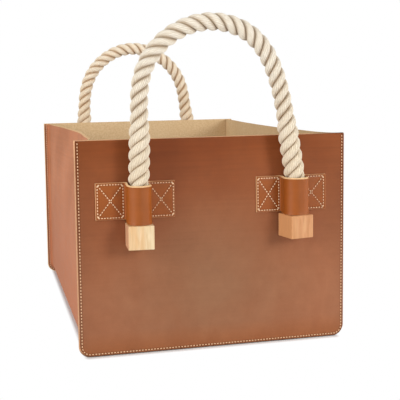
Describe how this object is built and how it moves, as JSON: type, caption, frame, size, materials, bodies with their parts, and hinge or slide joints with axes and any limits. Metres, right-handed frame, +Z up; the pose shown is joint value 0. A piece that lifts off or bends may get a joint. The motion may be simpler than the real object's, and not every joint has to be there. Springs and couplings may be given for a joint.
{
  "type": "leather log bag",
  "caption": "Boxy leather log bag with a bowed one-piece gusset, stitched edges and thick twisted rope handles ending in oak blocks.",
  "frame": {"origin": "centre of the bounding box in plan, on the ground that the panels' bottom edges stand on", "axes": "X runs along the two panels, -Y is the front panel with the handle nearest the viewer, +Z is up; X is the shortest extent"},
  "size_m": [0.45, 0.7127, 0.5395],
  "materials": {
    "panel_leather": "vegetable-tanned tan leather, lightly polished grain side",
    "gusset_leather": "vegetable-tanned tan leather, lightly polished grain side",
    "strap_leather": "vegetable-tanned tan leather with natural cut edges",
    "light_oak": "planed pale oak, oiled",
    "warm_oak": "planed warm oak, oiled",
    "rope": "natural three-strand twisted rope, matt"
  },
  "bodies": {
    "bag": {"front_panel": "panel_leather", "back_panel": "panel_leather", "gusset": "gusset_leather", "front_left_sleeve": "strap_leather", "front_left_rope_end": "rope", "front_left_end_block": "light_oak", "front_right_sleeve": "strap_leather", "front_right_rope_end": "rope", "front_right_end_block": "warm_oak", "back_left_sleeve": "strap_leather", "back_left_rope_end": "rope", "back_left_end_block": "light_oak", "back_right_sleeve": "strap_leather", "back_right_rope_end": "rope", "back_right_end_block": "warm_oak"},
    "front_handle_legs": {"front_left_rope_leg": "rope", "front_right_rope_leg": "rope"},
    "front_handle_arch": {"front_rope_arch": "rope"},
    "back_handle_legs": {"back_left_rope_leg": "rope", "back_right_rope_leg": "rope"},
    "back_handle_arch": {"back_rope_arch": "rope"}
  },
  "joints": [
    {"name": "front_handle_fold_out", "type": "hinge", "parent": "bag", "child": "front_handle_legs", "pos_m": [0, -0.3486, 0.279], "axis": [1, 0, 0], "range_deg": [0, 100], "stiffness_Nm_per_rad": 0.6},
    {"name": "front_handle_fold_in", "type": "hinge", "parent": "front_handle_legs", "child": "front_handle_arch", "pos_m": [0, -0.3186, 0.347], "axis": [-1, 0, 0], "range_deg": [0, 80], "stiffness_Nm_per_rad": 0.6},
    {"name": "back_handle_fold_out", "type": "hinge", "parent": "bag", "child": "back_handle_legs", "pos_m": [0, 0.3486, 0.279], "axis": [-1, 0, 0], "range_deg": [0, 100], "stiffness_Nm_per_rad": 0.6},
    {"name": "back_handle_fold_in", "type": "hinge", "parent": "back_handle_legs", "child": "back_handle_arch", "pos_m": [0, 0.3186, 0.347], "axis": [1, 0, 0], "range_deg": [0, 80], "stiffness_Nm_per_rad": 0.6}
  ]
}
